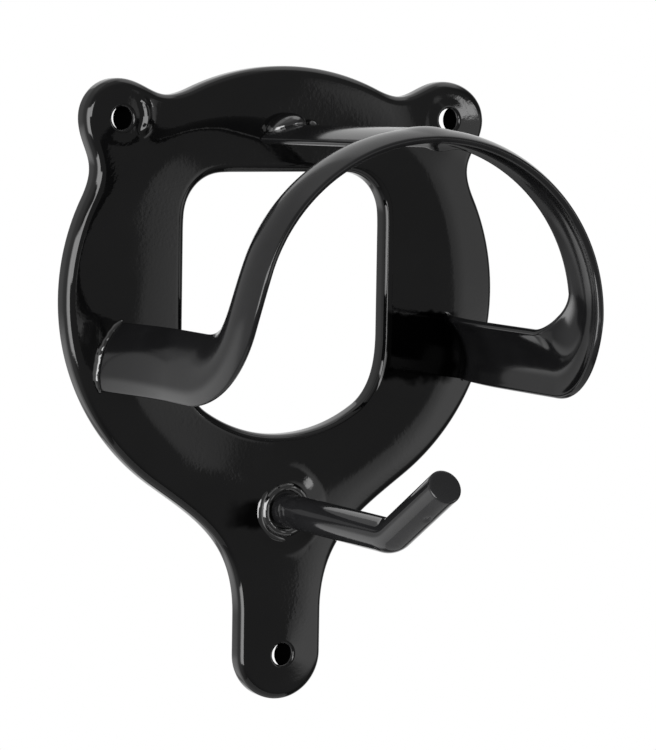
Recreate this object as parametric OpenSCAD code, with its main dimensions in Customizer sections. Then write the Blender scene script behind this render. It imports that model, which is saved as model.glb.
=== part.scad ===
// Bridle rack for a wall: a pressed ring plate, a bridle arch and a rein hook, all welded.
// Millimetres. X is to the right seen from the front, Y goes into the wall and Z is up.
// The origin is on the wall face, halfway between the two upper screw holes.

/* [Screw holes] */
// Distance between the two upper screw holes
hole_spacing = 130; // [120:1:140]
// Distance from the upper holes down to the lower hole
hole_drop = 190; // [180:1:210]
// Diameter of each screw hole
hole_d = 8; // [4:0.5:10]
// Diameter of the flat seat round each upper hole
seat_d = 18; // [12:0.5:20]
// Depth of those seats below the crowned face
seat_depth = 0.8; // [0.2:0.1:1.2]

/* [Back plate] */
// Half the width of the ring
ring_rx = 85.5; // [80:0.5:92]
// Half the height of the ring
ring_rz = 81; // [76:0.5:86]
// Distance from the upper holes down to the centre of the ring
ring_drop = 62.5; // [58:0.5:66]
// Radius of each upper ear round its hole
ear_r = 13.6; // [11:0.2:16]
// Length over which an ear blends into the ring
ear_blend = 16.7; // [8:0.1:22]
// Radius of the tail's end, which is half the tail's width
tail_r = 16.5; // [13:0.5:20]
// Length over which the tail blends into the ring
tail_blend = 34; // [20:1:44]
// Depth of the side wall, from the wall to the outer bend
wall_h = 6.8; // [5.5:0.1:9]
// Height by which the face is crowned above its edges
crown_h = 1.3; // [0.5:0.1:3]
// Distance from an edge over which the face rises to its crown
crown_run = 16; // [12:0.5:16]
// Outside radius of the bends along both edges
bend_r = 3; // [2.6:0.1:4]
// Thickness of the plate's sheet
plate_t = 2.5; // [1.5:0.1:2.5]

/* [Aperture] */
// Half the width of the opening in the ring
open_rx = 40; // [36:0.5:44]
// Distance from the upper holes down to the top of the opening
open_top = 18.7; // [16:0.1:22]
// Distance from the upper holes down to the bottom of the opening
open_bottom = 111.6; // [106:0.2:116]
// Radius of the opening's round bottom
open_round = 54; // [48:1:70]
// Size of the blend at the opening's upper corners
open_corner = 14.5; // [6:0.5:20]
// Size of the blend at the opening's lower corners
open_foot = 10; // [4:0.5:16]

/* [Bridle arch] */
// Distance from the wall to the arch's front rim
arch_reach = 111; // [96:0.5:126]
// Half the width of the arch along its crest
arch_rx = 68.3; // [64:0.1:70]
// Height of the arch's curved top along its crest
arch_rz = 64.4; // [60:0.1:68]
// Distance from the upper holes down to the arch's crown
arch_drop = 0.7; // [0:0.1:3]
// Width of the front band
band_w = 19.6; // [14:0.2:22]
// Straight height between the arch's curved top and the upper edges of its legs
leg_drop = 4.4; // [2:0.2:8]
// Height of each leg
leg_w = 24.4; // [18:0.2:30]
// Width of the top strap
strap_w = 25.8; // [18:0.2:28]
// Radius by which the strap widens into the band on each side
strap_fillet = 9; // [4:0.5:14]
// Radius of the dished section that the band and the legs are pressed to
dish_r = 19; // [18:0.5:30]
// Radius of the strap's dished section, on top of the arch's own curve
strap_dish_r = 22; // [20:0.5:34]
// How far the strap's crest falls from the band to its root
strap_fall = 1.2; // [0:0.1:2]
// How much further out a leg's lower edge stands than its upper edge
leg_lean = 7.8; // [0:0.2:9]
// How far a leg's crest lies inside the band's crest
leg_set = 1.1; // [0:0.1:3]
// Radius of the front corner where the band turns into the right leg
right_corner_r = 29; // [24:0.5:34]
// Radius of the window's corner above the right leg
right_window_r = 14; // [8:0.5:18]
// Radius of the wider front corner where the band turns into the left leg
left_corner_r = 50; // [44:1:54]
// Radius of the wider window's corner above the left leg
left_window_r = 30; // [24:1:34]
// Thickness of the arch's sheet
arch_t = 2.7; // [2:0.1:3.2]

/* [Rein hook] */
// Diameter of the hook's round bar
hook_d = 12; // [9:0.5:14]
// Distance from the upper holes down to the hook's axis
hook_drop = 138; // [136:0.5:144]
// Distance from the wall to the point where the bar's two straight axes meet
hook_vertex = 84; // [70:1:100]
// Length of the turned-up part, from that point to the tip
hook_tip = 40; // [28:1:50]
// Angle by which the bar turns up
hook_angle = 31.6; // [15:0.1:50]
// Radius of the bar's bend, on its axis
hook_bend = 15; // [13:0.5:20]
// Size of the small chamfer at the cut end
hook_chamfer = 0.6; // [0.3:0.1:1]

/* [Weld beads] */
// Width of the fillet beads outside the leg roots
leg_bead_w = 4.6; // [3:0.2:6]
// Height of the fillet beads along the leg roots
leg_bead_h = 4; // [3:0.2:6]
// Length of the weld over the crown of the strap's root
strap_bead_len = 13; // [8:0.2:14]
// Length of the small tack beside it
tack_len = 5; // [3:0.2:5.6]
// Distance from the middle of the strap to the middle of the crown weld, on the left
strap_bead_x = 2.8; // [2:0.1:4]
// Distance from the middle of the strap to the middle of the tack, on the right
tack_x = 8.6; // [8:0.1:9.8]
// Width of both across the plate
strap_bead_w = 3.8; // [2.5:0.1:5]
// Height of both along the strap
strap_bead_h = 3.6; // [2.5:0.1:5]
// Width of the ring bead round the hook's root
hook_bead_w = 4.6; // [3:0.2:6]
// Height of the ring bead along the hook
hook_bead_h = 3.4; // [2.5:0.1:5]

/* [Hidden] */
paint = [0.09, 0.09, 0.095];
weld_paint = [0.13, 0.13, 0.135];
round_fn = 64;
small = 0.01;

// Places that follow from the sizes above
hole_x = hole_spacing / 2;
ring_z = -ring_drop;
tail_top_z = ring_z - 0.71 * ring_rz;
face_h = wall_h + crown_h;
seat_y = -face_h;
arch_z = -arch_drop - arch_rz;
half_turn = (arch_rx + arch_rz) * PI / 4;
leg_top_z = arch_z - leg_drop;
leg_bottom_z = leg_top_z - leg_w;
band_rear = arch_reach - band_w;
band_mid = arch_reach - band_w / 2;
hook_z = -hook_drop;

// Counts of the grid over the plate and along the arch
plate_stations = 120;
edge_steps = 720;
search_steps = 22;
mid_fractions = [0.12, 0.33, 0.5, 0.67, 0.88];
bend_angles = [45, 90];
band_steps = 16;
corner_steps = 6;
leg_steps = 2;
fillet_steps = 6;
strap_sink = 0.45;
dish_steps = 8;
bead_steps = 8;

// A minimum of two fields whose corner is rounded over the length k
function soft_min(a, b, k) =
    let (h = max(k - abs(a - b), 0) / k)
    min(a, b) - h * h * k / 4;
function soft_max(a, b, k) = -soft_min(-a, -b, k);

// Fields that are negative inside a shape and close to the distance from its edge
function ring_field(x, z) =
    (norm([x / ring_rx, (z - ring_z) / ring_rz]) - 1) * (ring_rx + ring_rz) / 2;
function ear_field(x, z) = norm([abs(x) - hole_x, z]) - ear_r;
function tail_field(x, z) = norm([x, z - min(max(z, -hole_drop), tail_top_z)]) - tail_r;
plate_field = function (x, z)
    soft_min(soft_min(ring_field(x, z), ear_field(x, z), ear_blend), tail_field(x, z), tail_blend);
open_field = function (x, z)
    soft_max(soft_max(abs(x) - open_rx, z + open_top, open_corner),
             norm([x, z + open_bottom - open_round]) - open_round, open_foot);

// The point of a field's edge that lies at angle a from straight up, seen from the ring's centre
function ray_point(a, r) = [r * sin(a), ring_z + r * cos(a)];
function edge_radius(field, a, low, high, n) =
    let (mid = (low + high) / 2, p = ray_point(a, mid))
    n == 0 ? mid
    : field(p[0], p[1]) > 0 ? edge_radius(field, a, low, mid, n - 1)
    : edge_radius(field, a, mid, high, n - 1);
function edge_point(field, a) = ray_point(a, edge_radius(field, a, 10, hole_drop, search_steps));

// The unit vector that points out of a field's edge at p
function edge_normal(field, p) =
    let (g = [field(p[0] + small, p[1]) - field(p[0] - small, p[1]),
              field(p[0], p[1] + small) - field(p[0], p[1] - small)])
    g / norm(g);

// Angles of stations that are evenly spaced along the plate's outline, from the bottom round
outline_points = [for (i = [0 : edge_steps]) edge_point(plate_field, 180 + 360 * i / edge_steps)];
outline_lengths = [for (i = 0, s = 0; i <= edge_steps;
    s = s + (i < edge_steps ? norm(outline_points[i + 1] - outline_points[i]) : 0), i = i + 1) s];
angle_of_length = [for (i = [0 : edge_steps]) [outline_lengths[i], 180 + 360 * i / edge_steps]];
station_angles = [for (i = [0 : plate_stations - 1])
    lookup(outline_lengths[edge_steps] * i / plate_stations, angle_of_length)];

// Height of the crown over the edges: it rises from both edges to a flat top
function rise(d) = let (q = 1 - min(max(d / crown_run, 0), 1)) 1 - q * q;
function crown(p) = crown_h * rise(-plate_field(p[0], p[1])) * rise(open_field(p[0], p[1]));
function lift(p, h) = [p[0], -h, p[1]];

// One station of the plate's shell: a closed loop over its face and back along its hollow side
function plate_loop(a) =
    let (outer = edge_point(plate_field, a),
         inner = edge_point(open_field, a),
         out_n = -edge_normal(plate_field, outer),
         in_n = edge_normal(open_field, inner),
         straight = wall_h - bend_r,
         outer_bend = [for (b = bend_angles)
             let (p = outer + out_n * bend_r * (1 - cos(b))) lift(p, straight + bend_r * sin(b) + crown(p))],
         inner_bend = [for (i = [len(bend_angles) - 1 : -1 : 0])
             let (b = bend_angles[i], p = inner + in_n * bend_r * (1 - cos(b)))
             lift(p, straight + bend_r * sin(b) + crown(p))],
         from = outer + out_n * bend_r,
         to = inner + in_n * bend_r,
         face = [for (f = mid_fractions) let (p = from + (to - from) * f) lift(p, wall_h + crown(p))],
         hollow = [for (i = [len(mid_fractions) - 1 : -1 : 0])
             let (p = from + (to - from) * mid_fractions[i]) lift(p, wall_h - plate_t + crown(p))],
         in_wall = inner + in_n * plate_t,
         out_wall = outer + out_n * plate_t,
         in_top = inner + in_n * bend_r,
         out_top = outer + out_n * bend_r)
    concat([lift(outer, 0), lift(outer, straight)], outer_bend, face, inner_bend,
           [lift(inner, straight), lift(inner, 0), lift(in_wall, 0), lift(in_wall, straight)],
           [lift(in_top, wall_h - plate_t + crown(in_top))], hollow,
           [lift(out_top, wall_h - plate_t + crown(out_top))],
           [lift(out_wall, straight), lift(out_wall, 0)]);

// Triangles over a grid of loops; a closed grid joins its last loop to its first
function loop_faces(rows, cols, closed) =
    [for (i = [0 : rows - (closed ? 1 : 2)], j = [0 : cols - 1], k = [0, 1])
        let (a = i * cols + j, b = i * cols + (j + 1) % cols,
             c = ((i + 1) % rows) * cols + (j + 1) % cols, d = ((i + 1) % rows) * cols + j)
        k == 0 ? [a, b, c] : [a, c, d]];
// Each end of an open grid is closed by a strip of quads across its loop
function cap_quad(j, cols) =
    j + 1 == cols - 2 - j ? [j, j + 1, cols - 1 - j] : [j, j + 1, cols - 2 - j, cols - 1 - j];
function turned(f) = [for (i = [len(f) - 1 : -1 : 0]) f[i]];
function cap_faces(rows, cols) =
    [for (j = [0 : floor(cols / 2) - 1], end = [0, 1])
        let (f = cap_quad(j, cols))
        end == 0 ? turned(f) : [for (i = f) (rows - 1) * cols + i]];

module loops_solid(loops, closed) {
    cols = len(loops[0]);
    rows = len(loops);
    points = [for (l = loops) each l];
    faces = concat(loop_faces(rows, cols, closed), closed ? [] : cap_faces(rows, cols));
    polyhedron(points = points, faces = faces, convexity = 8);
}

module screw_hole(x, z) {
    translate([x, small, z])
        rotate([90, 0, 0])
            cylinder(d = hole_d, h = face_h + 2 * small, $fn = round_fn);
}

module screw_seat(x) {
    translate([x, seat_depth - face_h, 0])
        rotate([90, 0, 0])
            cylinder(d = seat_d, h = 2 * seat_depth, $fn = round_fn);
}

module back_plate() {
    color(paint)
        difference() {
            loops_solid([for (a = station_angles) plate_loop(a)], true);
            for (x = [-hole_x, hole_x]) {
                screw_hole(x, 0);
                screw_seat(x);
            }
            screw_hole(0, -hole_drop);
        }
}

// The arch's sheet is laid out flat first: s runs from the crown down one side and y is the depth
function vault_point(s, y, in) =
    s < half_turn
        ? [(arch_rx - in) * sin(90 * s / half_turn), y, arch_z + (arch_rz - in) * cos(90 * s / half_turn)]
        : [arch_rx - in, y, arch_z - (s - half_turn)];
function leg_s(z) = half_turn + arch_z - z;
function dish_drop(d) = dish_r - sqrt(dish_r * dish_r - d * d);

// Stations from the crown to a leg's root: front edge, rear edge and how far it is a leg
function flat_station(s0, y0, s1, y1, leg) = [[s0, y0], [s1, y1], leg];
function half_stations(corner_r, window_r) =
    let (front_s = leg_s(leg_bottom_z + corner_r), rear_s = leg_s(leg_top_z + window_r),
         front_y = corner_r - arch_reach, rear_y = window_r - band_rear)
    concat([for (i = [0 : band_steps - 1])
                let (f = i / band_steps) flat_station(front_s * f, -arch_reach, rear_s * f, -band_rear, 0)],
           [for (i = [0 : corner_steps])
                let (q = 90 * i / corner_steps)
                flat_station(front_s + corner_r * sin(q), front_y - corner_r * cos(q),
                             rear_s + window_r * sin(q), rear_y - window_r * cos(q), (1 - cos(2 * q)) / 2)],
           [for (i = [1 : leg_steps])
                let (f = i / leg_steps)
                flat_station(leg_s(leg_bottom_z), front_y + (seat_y - front_y) * f,
                             leg_s(leg_top_z), rear_y + (seat_y - rear_y) * f, 1)]);
leg_root = flat_station(leg_s(leg_bottom_z), seat_y, leg_s(leg_top_z), seat_y, 1);

// A point of the dished strip: v goes from -1 at the front edge to 1 at the rear, deep is the sheet's depth
function leg_shift(v, leg) = leg * (leg_set + leg_lean * v / 2);
function strip_point(st, v, deep) =
    let (w = norm(st[1] - st[0]), mid = (st[0] + st[1]) / 2, half = w / 2,
         tilt = asin(half / dish_r) * v,
         across = (st[1] - st[0]) / w,
         at = mid + across * (dish_r - deep) * sin(tilt),
         in = dish_r - (dish_r - deep) * cos(tilt) + leg_shift(v, st[2]))
    vault_point(at[0], at[1], in);
function strip_loop(st) =
    concat([for (j = [0 : dish_steps]) strip_point(st, -1 + 2 * j / dish_steps, 0)],
           [for (j = [dish_steps : -1 : 0]) strip_point(st, -1 + 2 * j / dish_steps, arch_t)]);
function to_left(loop) = [for (p = loop) [-p[0], p[1], p[2]]];
right_loops = [for (st = half_stations(right_corner_r, right_window_r)) strip_loop(st)];
left_stations = half_stations(left_corner_r, left_window_r);
left_loops = [for (i = [len(left_stations) - 1 : -1 : 1]) to_left(strip_loop(left_stations[i]))];

// The strap's own ridge runs on into the band, and its fillets take the band's fall behind its crest
strap_half = strap_w / 2;
fillet_start = band_rear - strap_fillet;
strap_end = band_mid - band_w / 8;
function ease(q) = let (c = min(max(q, 0), 1)) c * c * (3 - 2 * c);
function fall(d, r) = let (c = min(abs(d), r * 0.8)) r - sqrt(r * r - c * c) + (abs(d) - c) * 4 / 3;
function strap_in(x, depth) =
    let (sunk = strap_sink * ease((depth - band_rear) / (strap_end - band_rear)),
         slope = strap_fall * max(band_rear - depth, 0) / (band_rear - face_h),
         ridge = fall(x, strap_dish_r) + sunk + slope,
         band = fall(band_mid - depth, dish_r) + strap_sink)
    soft_min(ridge, band, strap_sink);
function strap_top(x, depth) = vault_point(x, -depth, strap_in(x, depth));

// A station of the strap holds its distance from the wall and its half width
strap_stations = concat(
    [for (f = [0 : 3]) [face_h + (fillet_start - face_h) * f / 3, strap_half]],
    [for (i = [1 : fillet_steps])
        let (q = 90 * i / fillet_steps)
        [fillet_start + strap_fillet * sin(q), strap_half + strap_fillet * (1 - cos(q))]],
    [for (f = [0.5, 1]) [band_rear + (strap_end - band_rear) * f, strap_half + strap_fillet]]);
function strap_point(st, v, deep) =
    let (x = st[1] * v,
         p = strap_top(x, st[0]),
         across = strap_top(x + small, st[0]) - strap_top(x - small, st[0]),
         n = cross(across, [0, -1, 0]))
    p + n / norm(n) * deep;
function strap_loop(st) =
    concat([for (j = [0 : dish_steps]) strap_point(st, -1 + 2 * j / dish_steps, 0)],
           [for (j = [dish_steps : -1 : 0])
               strap_point(st, -1 + 2 * j / dish_steps, arch_t - 2 * strap_sink * ease((st[0] - fillet_start) / strap_fillet))]);
strap_loops = [for (st = strap_stations) strap_loop(st)];

module bridle_arch() {
    color(paint)
        union() {
            loops_solid(concat(left_loops, right_loops), false);
            loops_solid(strap_loops, false);
        }
}

// The hook lies in the plane x = 0: straight out of the plate, a bend, then up to the cut end
bend_cut = hook_bend * tan(hook_angle / 2);
straight_end = hook_vertex - bend_cut;

// The straight lengths lap into the elbow, which is thinner by a hair so that the surfaces never touch
elbow_lap = 0.6;
elbow_thin = 0.03;

module rein_hook() {
    tip_len = hook_tip - bend_cut;
    color(paint)
        translate([0, 0, hook_z]) {
            translate([0, seat_y, 0])
                rotate([90, 0, 0])
                    cylinder(d = hook_d, h = straight_end - face_h + elbow_lap, $fn = round_fn);
            translate([0, -straight_end, hook_bend])
                rotate([0, 90, 180])
                    rotate_extrude(angle = hook_angle, $fn = 4 * round_fn)
                        translate([hook_bend, 0])
                            circle(d = hook_d - 2 * elbow_thin, $fn = round_fn);
            translate([0, -straight_end, hook_bend])
                rotate([-hook_angle, 0, 0])
                    translate([0, 0, -hook_bend])
                        rotate([90, 0, 0]) {
                            translate([0, 0, -elbow_lap])
                                cylinder(d = hook_d, h = tip_len - hook_chamfer + elbow_lap, $fn = round_fn);
                            translate([0, 0, tip_len - hook_chamfer])
                                cylinder(d1 = hook_d, d2 = hook_d - 2 * hook_chamfer, h = hook_chamfer,
                                         $fn = round_fn);
                        }
        }
}

// A station of a fillet bead: p is on the sheet, q is further out on the plate, h is the bead's height
function bead_loop(p, q, h) =
    [p, q, q + [0, -h * 0.25, 0], (p + q) / 2 + [0, -h * 0.7, 0], p + [0, -h, 0]];

// The beads along the outside of the legs' dished roots
leg_bead_loops = [for (j = [0 : dish_steps])
    let (v = -1 + 2 * j / dish_steps)
    bead_loop(strip_point(leg_root, v, 0), strip_point(leg_root, v, -leg_bead_w), leg_bead_h)];

// The short welds on top of the strap's root, which grow and shrink along their length
function short_bead_loops(x, length) =
    [for (j = [bead_steps : -1 : 0])
        let (f = -1 + 2 * j / bead_steps,
             v = (x + f * length / 2) / strap_half,
             size = sqrt(1 - 0.9 * f * f))
        bead_loop(strap_point(strap_stations[0], v, 0),
                  strap_point(strap_stations[0], v, -strap_bead_w * size), strap_bead_h * size)];

module right_leg_weld() {
    color(weld_paint)
        loops_solid(leg_bead_loops, false);
}

module left_leg_weld() {
    color(weld_paint)
        loops_solid([for (i = [dish_steps : -1 : 0]) to_left(leg_bead_loops[i])], false);
}

module strap_weld() {
    color(weld_paint)
        loops_solid(short_bead_loops(-strap_bead_x, strap_bead_len), false);
}

module strap_tack() {
    color(weld_paint)
        loops_solid(short_bead_loops(tack_x, tack_len), false);
}

module hook_weld() {
    bar_r = hook_d / 2;
    color(weld_paint)
        translate([0, seat_y, hook_z])
            rotate([90, 0, 0])
                rotate_extrude($fn = round_fn)
                    polygon([[bar_r, 0], [bar_r + hook_bead_w, 0],
                             [bar_r + hook_bead_w, hook_bead_h * 0.3],
                             [bar_r + hook_bead_w * 0.75, hook_bead_h * 0.75],
                             [bar_r + hook_bead_w * 0.4, hook_bead_h],
                             [bar_r, hook_bead_h * 0.8]]);
}

back_plate();
bridle_arch();
rein_hook();
left_leg_weld();
right_leg_weld();
strap_weld();
strap_tack();
hook_weld();
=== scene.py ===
import math
from functools import partial

import bmesh
import bpy
import numpy as np
from mathutils import Matrix


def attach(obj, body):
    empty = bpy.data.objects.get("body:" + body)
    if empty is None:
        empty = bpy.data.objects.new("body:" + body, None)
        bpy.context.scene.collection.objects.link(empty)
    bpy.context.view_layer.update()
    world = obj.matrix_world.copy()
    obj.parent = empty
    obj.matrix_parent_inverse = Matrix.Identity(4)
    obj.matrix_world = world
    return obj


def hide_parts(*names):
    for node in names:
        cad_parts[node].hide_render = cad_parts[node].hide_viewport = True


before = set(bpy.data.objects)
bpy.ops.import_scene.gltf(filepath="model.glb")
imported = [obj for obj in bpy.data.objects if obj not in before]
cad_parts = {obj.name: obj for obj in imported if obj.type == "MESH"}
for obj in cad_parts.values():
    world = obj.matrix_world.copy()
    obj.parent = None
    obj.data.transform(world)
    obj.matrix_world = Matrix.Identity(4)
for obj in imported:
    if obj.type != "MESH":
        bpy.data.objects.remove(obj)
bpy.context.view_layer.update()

# Sizes in millimetres, the same as in the part's source.
HOLE_X, HOLE_DROP, HOLE_R = 65.0, 190.0, 4.0
SEAT_R, SEAT_DEPTH = 9.0, 0.8
RING_RX, RING_RZ, RING_Z = 85.5, 81.0, -62.5
EAR_R, EAR_BLEND, TAIL_R, TAIL_BLEND = 13.6, 16.7, 16.5, 34.0
WALL_H, CROWN_H, BEND_R, PLATE_T = 6.8, 1.3, 3.0, 2.5
OPEN_RX, OPEN_TOP, OPEN_BOTTOM, OPEN_ROUND = 40.0, 18.7, 111.6, 54.0
OPEN_CORNER, OPEN_FOOT = 14.5, 10.0
ARCH_REACH, ARCH_RX, ARCH_RZ, ARCH_DROP, ARCH_T = 111.0, 68.3, 64.4, 0.7, 2.7
BAND_W, LEG_W, LEG_DROP, LEG_LEAN, LEG_SET = 19.6, 24.4, 4.4, 7.8, 1.1
STRAP_W, STRAP_FILLET, STRAP_FALL, DISH_R, STRAP_DISH_R = 25.8, 9.0, 1.2, 19.0, 22.0
RIGHT_CORNER_R, RIGHT_WINDOW_R, LEFT_CORNER_R, LEFT_WINDOW_R = 29.0, 14.0, 50.0, 30.0
HOOK_D, HOOK_DROP, HOOK_VERTEX, HOOK_TIP = 12.0, 138.0, 84.0, 40.0
HOOK_ANGLE, HOOK_BEND = math.radians(31.6), 15.0

# Places that follow from them. Legs, strap and hook start at ROOT_H, just under the face.
FACE_H = WALL_H + CROWN_H
ROOT_H = FACE_H - 0.7
TAIL_TOP_Z = RING_Z - 0.71 * RING_RZ
ARCH_Z = -ARCH_DROP - ARCH_RZ
HALF_TURN = (ARCH_RX + ARCH_RZ) * math.pi / 4
LEG_TOP_Z = ARCH_Z - LEG_DROP
LEG_BOTTOM_Z = LEG_TOP_Z - LEG_W
BAND_REAR = ARCH_REACH - BAND_W
BAND_MID = ARCH_REACH - BAND_W / 2
STRAP_HALF = STRAP_W / 2

# The forms from here on are this scene's own. The face climbs to its crown over these
# distances from the outline, from the tail's outline and from the opening.
OUTER_RUN, TAIL_RUN, INNER_RUN = 17.6, 16.5, 35.0
# The tail's crown is lower, and the change to it starts at a height and takes a distance.
TAIL_CROWN, TAIL_FROM, TAIL_FADE = 0.7, -130, 30
# Slow waves of the pressing: share of the crown, lengths across and up in a radian, and start.
WAVES = ((0.02, 9.0, 21.0, 0.4), (0.015, -14.0, 8.0, 2.0))
# Shallow swellings of the pressing: middle x and z, reach across and up, and height.
SWELLINGS = ((-74.0, -104.0, 22.0, 26.0, 0.5), (-28.0, -148.0, 15.0, 13.0, 0.3),
             (-50.0, -121.0, 20.0, 15.0, 0.7), (0.5, -189.0, 8.0, 9.0, 0.8))
# The plate is drawn up round the hook.
COLLAR_RISE, COLLAR_REACH, COLLAR_RUN = 1.3, 17.0, 8.5
# The right ear is wider outside its hole. Its face falls off along EAR_WAY, from EAR_START
# onwards, by EAR_FALL in each EAR_RUN, and only within EAR_REACH of the hole.
EAR_WIDER, EAR_FALL, EAR_WAY, EAR_RUN = 1.2, 1.05, (0.71, 0.70), 9.0
EAR_START, EAR_SOFT, EAR_MOST, EAR_REACH, EAR_FADE = 1.5, 3, 1.2, 24, 8
# The seats show a share of the source's depth, with an edge this wide.
SEAT_SHARE, SEAT_EDGE = 0.12, 3
# The lip beside the left seat: height, width, distance from the seat and its change a degree.
LIP_H, LIP_W, LIP_OFF, LIP_TURN = 1.35, 1.3, 0.4, 0.012
# Angles above and below the hole's right side where the lip has ended, and how it fades.
LIP_TOP, LIP_TOP_FADE, LIP_FOOT, LIP_FOOT_FADE = 50, 22, 46, 28
# Rounding of the holes' front rims and back rims, and of the plate's edges at the wall.
RIM_R, BACK_RIM_R, FOOT_R, FOOT_NEAR = 1.0, 0.3, 0.35, 0.1
# Each leg spreads outwards towards the plate.
LEG_SPLAY, SPLAY_RUN = 6.2, 38.0
# Rounding of the arch's edges, of the strap's ridge where it meets the band, and how far the
# ridge reaches to each side.
ARCH_RIM_R, RIDGE_SOFT, RIDGE_HALF = 1.05, 2.4, 45
# The nick in the bar: distance from the tip, angle round the bar, half sizes and depth.
NICK_BACK, NICK_ANGLE, NICK_LONG, NICK_WIDE, NICK_DEEP = 13.5, 196, 1.3, 9, 0.55


# Meshes from arrays

def grid_quads(index, wrap_rows=False, wrap_cols=False):
    """Quads over a grid of vertex numbers: each joins a vertex to its neighbours in the next
    row and column."""
    rows = np.concatenate([index, index[:1]]) if wrap_rows else index
    full = np.concatenate([rows, rows[:, :1]], axis=1) if wrap_cols else rows
    corners = [full[:-1, :-1], full[:-1, 1:], full[1:, 1:], full[1:, :-1]]
    return np.stack(corners, axis=-1).reshape(-1, 4)


def numbered(points):
    """Vertex numbers for a grid of points, row by row."""
    return np.arange(points.shape[0] * points.shape[1]).reshape(points.shape[:2])


def make_piece(name, points, quads, polygons=()):
    """A mesh object from points in millimetres, an array of quads and a list of other
    polygons."""
    faces = quads.tolist() + [list(p) for p in polygons]
    mesh = bpy.data.meshes.new(name)
    mesh.from_pydata((points / 1000).tolist(), [], faces)
    mesh.validate()
    work = bmesh.new()
    work.from_mesh(mesh)
    bmesh.ops.remove_doubles(work, verts=work.verts, dist=1e-7)
    loose = [v for v in work.verts if not v.link_faces]
    bmesh.ops.delete(work, geom=loose, context="VERTS")
    bmesh.ops.recalc_face_normals(work, faces=work.faces)
    for face in work.faces:
        face.smooth = True
    work.to_mesh(mesh)
    work.free()
    piece = bpy.data.objects.new(name, mesh)
    bpy.context.scene.collection.objects.link(piece)
    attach(piece, "root")
    return piece


def unit(v):
    """Vectors scaled to length 1."""
    return v / np.maximum(np.linalg.norm(v, axis=-1, keepdims=True), 1e-12)


def ease(q):
    """Goes smoothly from 0 to 1 as q does, and stays there outside."""
    c = np.clip(q, 0, 1)
    return c * c * (3 - 2 * c)


def soft_min(a, b, k):
    """The smaller of two fields, with their crossing rounded over the length k."""
    h = np.maximum(k - np.abs(a - b), 0) / k
    return np.minimum(a, b) - h * h * k / 4


def soft_max(a, b, k):
    """The larger of two fields, with their crossing rounded over the length k."""
    return -soft_min(-a, -b, k)


# Back plate

def plate_field(x, z):
    """Below zero inside the plate: an ellipse, two ear circles and a tail capsule, blended
    smoothly. Outside its hole the right ear is an ellipse instead."""
    ring = (np.hypot(x / RING_RX, (z - RING_Z) / RING_RZ) - 1) * (RING_RX + RING_RZ) / 2
    ear = np.hypot((np.abs(x) - HOLE_X) / np.where(x > HOLE_X, EAR_WIDER, 1), z) - EAR_R
    tail = np.hypot(x, z - np.clip(z, -HOLE_DROP, TAIL_TOP_Z)) - TAIL_R
    return soft_min(soft_min(ring, ear, EAR_BLEND), tail, TAIL_BLEND)


def open_field(x, z):
    """Below zero inside the opening: straight sides and top, a circle below, and blended
    corners."""
    box = soft_max(np.abs(x) - OPEN_RX, z + OPEN_TOP, OPEN_CORNER)
    foot = np.hypot(x, z + OPEN_BOTTOM - OPEN_ROUND) - OPEN_ROUND
    return soft_max(box, foot, OPEN_FOOT)


def edge_points(field, angles):
    """Points where rays from the ring's centre cross a field's edge, found by halving, as an
    array of (x, z)."""
    low, high = np.full(angles.shape, 10.0), np.full(angles.shape, HOLE_DROP)
    for _ in range(40):
        mid = (low + high) / 2
        out = field(mid * np.sin(angles), RING_Z + mid * np.cos(angles)) > 0
        low, high = np.where(out, low, mid), np.where(out, mid, high)
    return np.stack([low * np.sin(angles), RING_Z + low * np.cos(angles)], axis=-1)


def edge_normals(field, p):
    """Unit vectors that point out of a field's edge, from its slope over a small step."""
    d = 0.01
    return unit(np.stack([field(p[:, 0] + d, p[:, 1]) - field(p[:, 0] - d, p[:, 1]),
                          field(p[:, 0], p[:, 1] + d) - field(p[:, 0], p[:, 1] - d)], axis=-1))


def rise(d, run, power=2):
    """Goes from 0 at an edge to 1 at the distance run from it, flattening out by a power of
    what is left."""
    return 1 - (1 - np.clip(d / run, 0, 1)) ** power


def crown(p):
    """Height of the face above its bends. It climbs fast from the outline and slowly from the
    opening, so the ridge lies nearer the outline, and it is lower and flatter on the tail. Slow
    waves take a little away, swellings add some, a collar rises round the hook, and the right
    ear falls off along a slope that starts softly beside its hole."""
    x, z = p[..., 0], p[..., 1]
    tail = ease((TAIL_FROM - z) / TAIL_FADE)
    high = CROWN_H + (TAIL_CROWN - CROWN_H) * tail
    climb = rise(-plate_field(x, z), OUTER_RUN + (TAIL_RUN - OUTER_RUN) * tail, 2 + tail)
    edge = climb * rise(open_field(x, z), INNER_RUN)
    waves = sum(share * (1 + np.sin(x / across + z / up + start))
                for share, across, up, start in WAVES)
    swell = sum(height * np.exp(-((x - cx) / across) ** 2 - ((z - cz) / up) ** 2)
                for cx, cz, across, up, height in SWELLINGS)
    collar = COLLAR_RISE * ease((COLLAR_REACH - np.hypot(x, z + HOOK_DROP)) / COLLAR_RUN)
    off = (x - HOLE_X) * EAR_WAY[0] + z * EAR_WAY[1]
    slope = np.clip(soft_max(0, off - EAR_START, EAR_SOFT) / EAR_RUN, 0, EAR_MOST)
    ear = EAR_FALL * slope * ease((EAR_REACH - np.hypot(x - HOLE_X, z)) / EAR_FADE)
    return high * edge * (1 - waves) + swell * edge + collar - ear


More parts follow.
